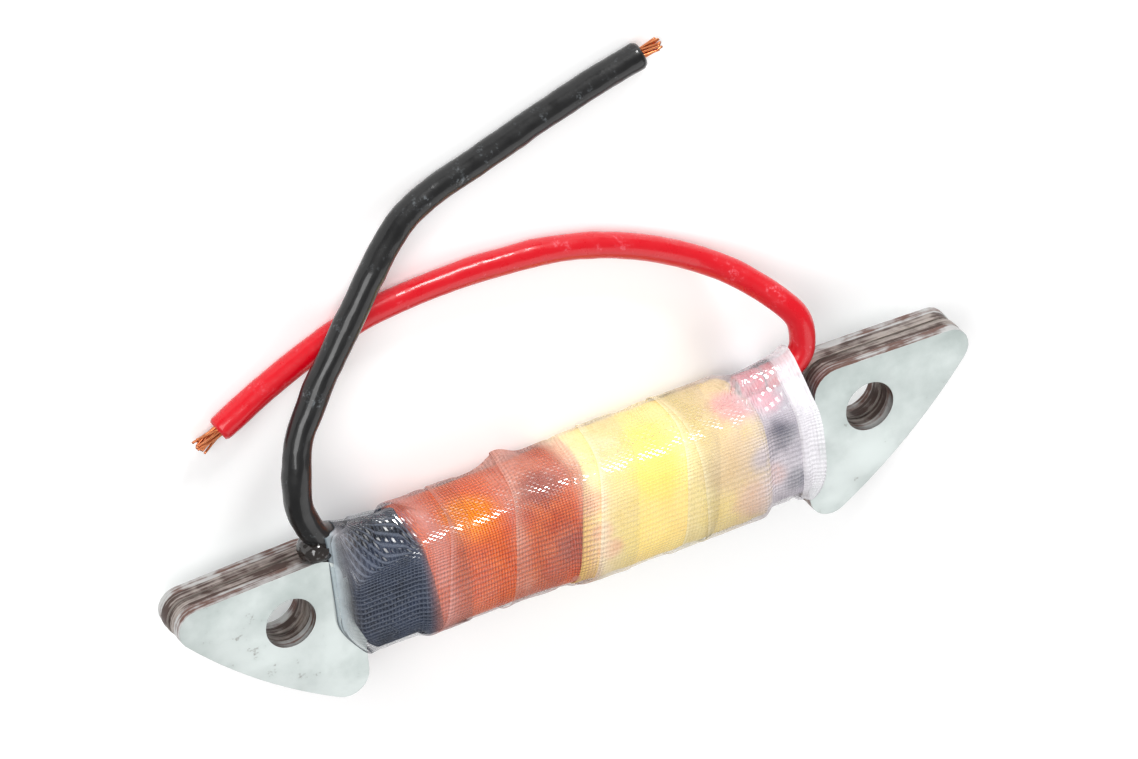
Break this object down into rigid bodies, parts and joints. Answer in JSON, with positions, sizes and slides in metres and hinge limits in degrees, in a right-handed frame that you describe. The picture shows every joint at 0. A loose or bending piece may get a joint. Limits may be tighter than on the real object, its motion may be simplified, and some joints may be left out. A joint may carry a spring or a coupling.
{
  "type": "magneto ignition coil",
  "caption": "Wound coil on a laminated steel core with two screw ears and hooked pole ends, wrapped in woven tape, with a black and a red wire lead.",
  "frame": {"origin": "under the midpoint between the two screw holes, at the level underside of the wrapped coil", "axes": "+X along the core, from the black lead's end to the red lead's end; +Y from the pole faces towards the straight edges and the leads; +Z out of the front core plate"},
  "size_m": [0.0816, 0.0518, 0.0122],
  "materials": {
    "zinc_plate": "bright zinc plated, punched sheet steel",
    "bare_plate": "bare rolled sheet steel with brownish punched edges",
    "insulation_paper": "dark blue-grey varnished insulation paper",
    "enamelled_wire": "copper wire with orange enamel",
    "yellow_film": "pale yellow polyester film tape",
    "glass_cloth_tape": "milky woven glass tape soaked in clear varnish",
    "solder": "tin solder",
    "sleeving": "varnished glass sleeving",
    "black_vinyl": "semi-gloss black vinyl insulation with varnish runs",
    "red_vinyl": "glossy red vinyl insulation with varnish runs",
    "set_varnish": "dark glossy set varnish",
    "bare_copper": "stranded bare copper"
  },
  "bodies": {
    "root": {"rear_core_plate": "zinc_plate", "rear_inner_core_plate": "bare_plate", "front_inner_core_plate": "bare_plate", "front_core_plate": "zinc_plate", "core_insulation_sleeve": "insulation_paper", "left_end_collar": "insulation_paper", "right_end_collar": "insulation_paper", "winding": "enamelled_wire", "yellow_cover_tape": "yellow_film", "outer_glass_tape": "glass_cloth_tape", "tape_cuff": "glass_cloth_tape", "winding_start_tail": "enamelled_wire", "black_lead_solder_joint": "solder", "black_joint_sleeve": "sleeving", "winding_finish_tail": "enamelled_wire", "red_lead_solder_joint": "solder", "red_joint_sleeve": "sleeving", "black_lead_held_end": "black_vinyl", "red_lead_held_end": "red_vinyl", "black_lead_varnish_bead": "set_varnish", "black_lead": "black_vinyl", "black_lead_conductor": "bare_copper", "red_lead": "red_vinyl", "red_lead_conductor": "bare_copper"}
  },
  "joints": []
}
